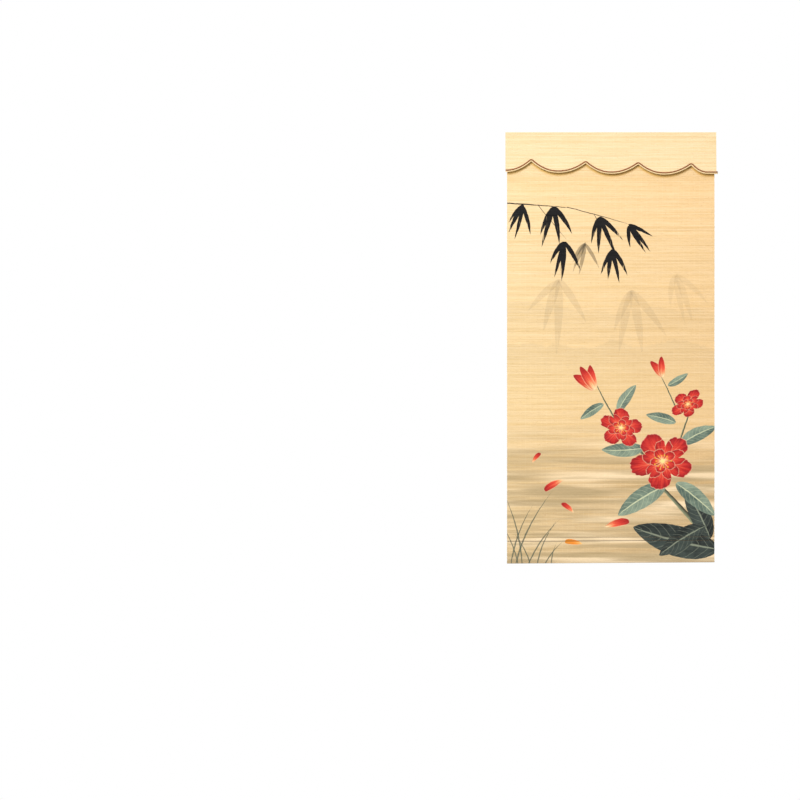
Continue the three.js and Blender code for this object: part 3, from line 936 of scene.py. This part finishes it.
def woven_bamboo(name, tones, right_side, printed=False, seams=()):
    """Split bamboo sticks laid edge to edge, bound by cotton warp threads and left natural. Planing leaves
    each stick its own tone and long fine fibres with a satin gloss. Tones go by drop and are warmed towards
    the right side. Seams are lines of shade across the hem, each with its height over the bottom fold, half
    its width, and the share of the light it leaves."""
    material, tree, shader = finish(name, Roughness=0.55, Specular_IOR_Level=0.16)
    uv = add(tree, "UVMap", uv_map="weave")
    across = add(tree, "SeparateXYZ", [uv])
    place = across.node.outputs["Y"]
    stick, off_crown = parted(tree, place)

    # Each stick has a tone of its own, and it changes slowly along it, over about 110 mm
    own = add(tree, "TexWhiteNoise", {"W": stick}, noise_dimensions="1D")
    row = add(tree, "Math", [stick, 5.73], "MULTIPLY")
    slow = add(tree, "Math", [across, 1 / DRIFT_LENGTH], "MULTIPLY")
    spot = add(tree, "CombineXYZ", [slow, row, 0.0])
    drift = add(tree, "TexNoise", {"Vector": spot, "Scale": 1.0, "Detail": 3.0, "Roughness": 0.6},
                noise_dimensions="2D")
    # Fibres are about 0.5 mm wide here, coarser than real ones of 0.1 mm, and 14 mm long
    long = add(tree, "Math", [across, 1 / FIBRE_LENGTH], "MULTIPLY")
    fine = add(tree, "Math", [place, FIBRES_TO_STICK], "MULTIPLY")
    spot = add(tree, "CombineXYZ", [long, fine, 0.0])
    fibre = add(tree, "TexNoise", {"Vector": spot, "Scale": 1.0, "Detail": 2.0, "Roughness": 0.6},
                noise_dimensions="2D")
    # Where all three are middling, the tone is in the middle too
    middling = 0.5 - (OWN_SHARE + DRIFT_SHARE + FIBRE_SHARE) / 2
    tone = add(tree, "Math", [own, OWN_SHARE, middling], "MULTIPLY_ADD")
    tone = add(tree, "Math", [drift, DRIFT_SHARE, tone], "MULTIPLY_ADD")
    tone = add(tree, "Math", [fibre, FIBRE_SHARE, tone], "MULTIPLY_ADD", use_clamp=True)
    streak = add(tree, "Mix", {0: tone, COLOUR_A: PALE_STICK, COLOUR_B: DEEP_STICK}, **COLOUR_MIX)

    coords = add(tree, "TexCoord", out="Object")
    x = add(tree, "SeparateXYZ", [coords])
    drop = add(tree, "MapRange", [x.node.outputs["Z"], 0.0, -CLOTH_DROP, 0.0, 1.0])
    base = add(tree, "ValToRGB", [drop], stops={at: tint(code) for at, code in tones.items()})
    right = add(tree, "MapRange", [x, -CLOTH_WIDTH / 2, CLOTH_WIDTH / 2, 0.0, 1.0])
    warmth = add(tree, "Mix", {0: right, COLOUR_A: PALE_STICK, COLOUR_B: right_side}, **COLOUR_MIX)
    # The lower right corner is a little darker still
    low = add(tree, "MapRange", [drop, 0.68, 0.86, 0.0, 0.14], **SMOOTH)
    low = add(tree, "Math", [low, right], "MULTIPLY")
    low = add(tree, "Math", [1.0, low], "SUBTRACT")
    ground = add(tree, "VectorMath", [base, streak], "MULTIPLY")
    ground = add(tree, "VectorMath", [ground, warmth], "MULTIPLY")
    ground = add(tree, "VectorMath", {0: ground, "Scale": low}, "SCALE")

    # Joint marks: a culm has a joint every 290 mm or so, and it shows as a short brown fleck on a stick
    cell = add(tree, "Math", [own, 3.7], "MULTIPLY")
    cell = add(tree, "Math", [across, 1 / JOINT_SPACING, cell], "MULTIPLY_ADD")
    cell = add(tree, "Math", [cell, 0.5], "PINGPONG")
    fleck = add(tree, "MapRange", [cell, 0.0036, 0.0016, 0.0, 0.5])
    ground = add(tree, "Mix", {0: fleck, COLOUR_A: ground, COLOUR_B: tint("#b98a52")}, **COLOUR_MIX)

    # Warp threads 20 mm apart go over one stick and under the next. They are 0.4 mm thick, drawn 1 mm wide
    thread = add(tree, "Math", [across, 1 / THREAD_PITCH], "MULTIPLY")
    number, thread = parted(tree, thread)
    thread = add(tree, "Math", [thread], "ABSOLUTE")
    thread = add(tree, "MapRange", [thread, 0.03, 0.018, 0.0, 1.0])
    turn = add(tree, "Math", [stick, number], "ADD")
    over = add(tree, "Math", [turn, 2.0], "MODULO")
    over = add(tree, "Math", [over, thread], "MULTIPLY")
    cotton = add(tree, "Math", [over, 0.4], "MULTIPLY")
    ground = add(tree, "Mix", {0: cotton, COLOUR_A: ground, COLOUR_B: tint("#f8e6bd")}, **COLOUR_MIX)

    if printed:
        # Painted shadow of the valance: a golden shade on the sticks just below the trim, fading out
        # downwards
        across_trim = add(tree, "Math", [x, 1 / VALANCE_WIDTH, 0.5], "MULTIPLY_ADD")
        trim = add(tree, "FloatCurve", {"Value": across_trim}, curve=[
            (point[0] / VALANCE_WIDTH + 0.5, point[1] / TRIM_SCALE) for point in line[::TRIM_SHADOW_STEP]])
        below = add(tree, "Math", [trim, TRIM_SCALE, x.node.outputs["Z"]], "MULTIPLY_ADD")
        kept = add(tree, "MapRange", [below, -TRIM_SHADOW_END, -TRIM_SHADOW_FULL, 0.0, 1.0], **SMOOTH)
        painted_trim_shadow = add(tree, "Mix", {0: kept, COLOUR_A: PALE_STICK, COLOUR_B: TRIM_SHADOW_TONE}, **COLOUR_MIX)
        ground = add(tree, "VectorMath", [ground, painted_trim_shadow], "MULTIPLY")
        print_colour = picture(tree, ground)
        wear = add(tree, "MapRange", [fibre, 0.3, 0.7, 0.9, 1.06])
        ground = add(tree, "VectorMath", {0: print_colour, "Scale": wear}, "SCALE")

    # Stitch rows pull the hem in, and the hem's own edge stands up: shade lies along them
    if seams:
        rise = add(tree, "Math", [x, -BOTTOM_RISE / CLOTH_WIDTH, CLOTH_DROP], "MULTIPLY_ADD")
        above = add(tree, "Math", [x.node.outputs["Z"], rise], "ADD")
    for row in seams:
        away = add(tree, "Math", [above, row["height"]], "SUBTRACT")
        away = add(tree, "Math", [away], "ABSOLUTE")
        seam = add(tree, "MapRange", [away, 0.4 * row["reach"], row["reach"], row["left"], 1.0])
        ground = add(tree, "VectorMath", {0: ground, "Scale": seam}, "SCALE")

    # Grooves between the sticks hold shade
    edge = add(tree, "Math", [off_crown], "ABSOLUTE")
    shade = add(tree, "MapRange", [edge, 0.36, 0.5, 1.0, GROOVE_SHADE])
    ground = add(tree, "VectorMath", {0: ground, "Scale": shade}, "SCALE")
    tree.links.new(ground, shader["Base Color"])

    gloss = add(tree, "MapRange", [fibre, 0.3, 0.7, 0.46, 0.66])
    tree.links.new(gloss, shader["Roughness"])
    rise = add(tree, "Math", [fibre, 0.25, over], "MULTIPLY_ADD")
    bump = add(tree, "Bump", {"Strength": 0.8, "Distance": 0.3 * MM, "Height": rise}, out="Normal")
    tree.links.new(bump, shader["Normal"])
    return material


def twisted_yarn(name, pale, deep, strands, lay_length):
    """Plied cotton cord with a matt face: fine yarns run with the twist of its strands, and dust and shade
    lie between them."""
    material, tree, shader = finish(name, Roughness=0.85, Specular_IOR_Level=0.2, Sheen_Weight=0.2,
                                    Sheen_Roughness=0.5)
    uv = add(tree, "UVMap", uv_map="weave")
    along = add(tree, "SeparateXYZ", [uv])
    around = along.node.outputs["Y"]
    turns = add(tree, "Math", [along, -1 / lay_length], "MULTIPLY")
    turns = add(tree, "Math", [turns, around], "ADD")
    strand = add(tree, "Math", [turns, float(strands)], "MULTIPLY")
    fold = add(tree, "Math", [strand, 0.5], "PINGPONG")
    # Yarns cross the strands the other way. On the trim they are 2 to 3 mm apart, coarser than real ones of
    # 0.5 mm, so that they show
    yarn = add(tree, "Math", [along, 1 / YARN_REPEAT], "MULTIPLY")
    yarn = add(tree, "Math", [strand, 1.5, yarn], "MULTIPLY_ADD")
    yarn = add(tree, "Math", [yarn, 0.5], "PINGPONG")
    spot = add(tree, "CombineXYZ", [along, around, 0.0])
    spot = add(tree, "VectorMath", [spot, (1 / SOIL_LENGTH, 3.0, 1.0)], "MULTIPLY")
    soil = add(tree, "TexNoise", {"Vector": spot, "Scale": 1.0, "Detail": 3.0}, noise_dimensions="2D")
    tone = add(tree, "MapRange", [fold, 0.0, 0.42, 0.75, 0.0])
    tone = add(tree, "Math", [yarn, -0.5, tone], "MULTIPLY_ADD")
    tone = add(tree, "Math", [soil, 0.7, tone], "MULTIPLY_ADD", use_clamp=True)
    colour = add(tree, "Mix", {0: tone, COLOUR_A: tint(pale), COLOUR_B: tint(deep)}, **COLOUR_MIX)
    tree.links.new(colour, shader["Base Color"])
    rise = add(tree, "Math", [fold, yarn], "ADD")
    bump = add(tree, "Bump", {"Strength": 0.7, "Distance": 0.4 * MM, "Height": rise}, out="Normal")
    tree.links.new(bump, shader["Normal"])
    return material


# Tones by share of the cloth's drop, and what they are multiplied by at the right side
CLOTH_TONES = {0.0: "#f5dcb3", 0.12: "#f2d8ae", 0.3: "#eed6ae", 0.5: "#efd5aa", 0.6: "#ebd2a7",
               0.72: "#e8cea4", 0.82: "#e1c8a0", 0.93: "#dfc7a0", 1.0: "#ddc59e"}
VALANCE_TONES = {0.0: "#efdab6", 1.0: "#efdab6"}
CLOTH_RIGHT = (0.97, 0.91, 0.86, 1)
VALANCE_RIGHT_SIDE = (0.99, 0.97, 0.95, 1)

line = trim_line()
cloth = blind_cloth()
pelmet = valance(line)
brown_route = trim_route(beside(line, BROWN_RADIUS * TRIM_FLAT + CORD_GAP / 2), BROWN_RADIUS)
cream_route = trim_route(beside(line, -CREAM_RADIUS * TRIM_FLAT - CORD_GAP / 2), CREAM_RADIUS)
brown = twisted_cord("brown_twist", brown_route, BROWN_RADIUS, BROWN_STRANDS, BROWN_LAY, BROWN_SIDES)
cream = twisted_cord("cream_cord", cream_route, CREAM_RADIUS, CREAM_STRANDS, CREAM_LAY, CREAM_SIDES)

# Each hem row shows on the front and on the back
hem_seams = []
for row in STITCH_ROWS:
    for facing, depth in ((1, STITCH_GROOVE - SHEET / 2), (-1, HEM_THICKNESS - SHEET / 2 - BACK_SINK)):
        seam = seam_points(-CLOTH_WIDTH / 2, CLOTH_WIDTH / 2, lambda x: hem_drop(x, row),
                           lambda x, drop: cloth_middle(x, drop) + depth, STITCH_SPACING)
        hem_seams.append((seam, np.full(len(seam), facing)))
hem_thread = stitches("hem_stitches", np.concatenate([seam for seam, _ in hem_seams]),
                      np.concatenate([facing for _, facing in hem_seams]), STITCH_LENGTH, THREAD_RADIUS)

SEAM = ("height", "reach", "left")
both_seams = table(SEAM,
    (STITCH_ROWS[0], 2.3 * MM, 0.45),
    (STITCH_ROWS[1], 1.9 * MM, 0.66),
    (0.0, 19 * MM, 0.84))
hem_edge = table(SEAM, (HEM_DEPTH, 3.0 * MM, 0.4))
natural_front = woven_bamboo("printed_woven_bamboo", CLOTH_TONES, CLOTH_RIGHT, printed=True, seams=both_seams)
natural_back = woven_bamboo("plain_woven_bamboo", CLOTH_TONES, CLOTH_RIGHT, seams=both_seams + hem_edge)
valance_bamboo = woven_bamboo("pale_woven_bamboo", VALANCE_TONES, VALANCE_RIGHT_SIDE)
brown_cotton = twisted_yarn("brown_cotton_twist", "#ad6a38", "#5c2f13", BROWN_STRANDS, BROWN_LAY)
cream_cotton = twisted_yarn("cream_cotton_twist", "#f6e0b0", "#cfa873", CREAM_STRANDS, CREAM_LAY)
tan_thread = twisted_yarn("tan_sewing_thread", "#9a8058", "#6d5836", THREAD_PLIES, THREAD_LAY)
for made, material in ((cloth, natural_front), (cloth, natural_back), (pelmet, valance_bamboo),
                       (brown, brown_cotton), (cream, cream_cotton), (hem_thread, tan_thread)):
    made.data.materials.append(material)

for made, node in ((cloth, "blind_cloth"), (pelmet, "valance"), (brown, "brown_cord"),
                   (cream, "cream_piping")):
    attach(made, "root")
    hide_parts(node)
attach(hem_thread, "root")

# Camera: straight on, so that the valance and the top edge fall on the photograph's own pixels
PHOTO_SIDE = 800
VALANCE_LEFT, VALANCE_RIGHT, TOP_EDGE = 505.4, 716.2, 132.3
CAMERA_DISTANCE = 12.0
cam_data = bpy.data.cameras.new("camera")
camera = bpy.data.objects.new("camera", cam_data)
bpy.context.scene.collection.objects.link(camera)
bpy.context.scene.camera = camera
pixel = VALANCE_WIDTH / (VALANCE_RIGHT - VALANCE_LEFT)
cam_data.lens = cam_data.sensor_width * CAMERA_DISTANCE / (PHOTO_SIDE * pixel)
camera.location = ((PHOTO_SIDE - VALANCE_LEFT - VALANCE_RIGHT) / 2 * pixel, -CAMERA_DISTANCE,
                   -(PHOTO_SIDE / 2 - TOP_EDGE) * pixel)
camera.rotation_euler = (math.pi / 2, 0, 0)


def disc(name, radius, level, sides=96):
    """A flat round floor: one face whose corners are evenly spaced on a circle of the radius, at the
    level."""
    angle = np.linspace(0, 2 * np.pi, sides, endpoint=False)
    points = np.stack([radius * np.cos(angle), radius * np.sin(angle), np.full(sides, level)], axis=-1)
    return piece(name, points, [list(range(sides))])


def area_lamp(name, size, power, place, rotation):
    """A square soft light of a size in metres and a power in watts, turned by angles about X, Y and Z."""
    light = bpy.data.lights.new(name, "AREA")
    light.size = size
    light.energy = power
    lamp = bpy.data.objects.new(name, light)
    bpy.context.scene.collection.objects.link(lamp)
    lamp.location = place
    lamp.rotation_euler = rotation


# Floor, far enough below to stay out of the camera's sight. Matt paper gives it a rough, faintly mottled grey
floor = disc("floor", 1.7, -2.75)
paper, paper_tree, paper_shader = finish("matt_paper", Roughness=0.9)
grain = add(paper_tree, "TexNoise", {"Scale": 40.0, "Detail": 2.0})
PAPER_DARK, PAPER_LIGHT = (0.42, 0.42, 0.42, 1), (0.46, 0.46, 0.46, 1)
grain = add(paper_tree, "Mix", {0: grain, COLOUR_A: PAPER_DARK, COLOUR_B: PAPER_LIGHT}, **COLOUR_MIX)
paper_tree.links.new(grain, paper_shader["Base Color"])
floor.data.materials.append(paper)

# White light all round, as in the photograph, but dimmer and warmer from well below
world = bpy.data.worlds.new("studio")
world.use_nodes = True
bpy.context.scene.world = world
sky = world.node_tree
up = add(sky, "TexCoord", out="Generated")
up = add(sky, "SeparateXYZ", [up])
up = add(sky, "MapRange", [up.node.outputs["Z"], -0.6, -0.15, 0.6, 1.0])
sky.links.new(up, sky.nodes["Background"].inputs["Strength"])
glow = add(sky, "MapRange", [up, 0.6, 1.0, 0.0, 1.0])
glow = add(sky, "Mix", {0: glow, COLOUR_A: (1, 0.94, 0.86, 1), COLOUR_B: (1, 1, 1, 1)}, **COLOUR_MIX)
sky.links.new(glow, sky.nodes["Background"].inputs["Color"])
bpy.context.scene.view_settings.view_transform = "Standard"

# The key light comes from the upper left of the front, aimed at the middle of the blind, and is soft enough
# for the faint shadow under the valance. A weaker one behind keeps the back from going dull
KEY_PLACE = np.array([-4.2, -9.2, 3.4])
KEY_TARGET = np.array([0, 0, -0.7])
aim = KEY_TARGET - KEY_PLACE
pitch = math.atan2(math.hypot(aim[0], aim[1]), -aim[2])
area_lamp("key", 4.6, 1820, KEY_PLACE, (pitch, 0, math.atan2(aim[1], aim[0]) - math.pi / 2))
area_lamp("back_fill", 3.0, 420, (2.6, 7.0, 2.4), (math.radians(67), 0, math.radians(160)))
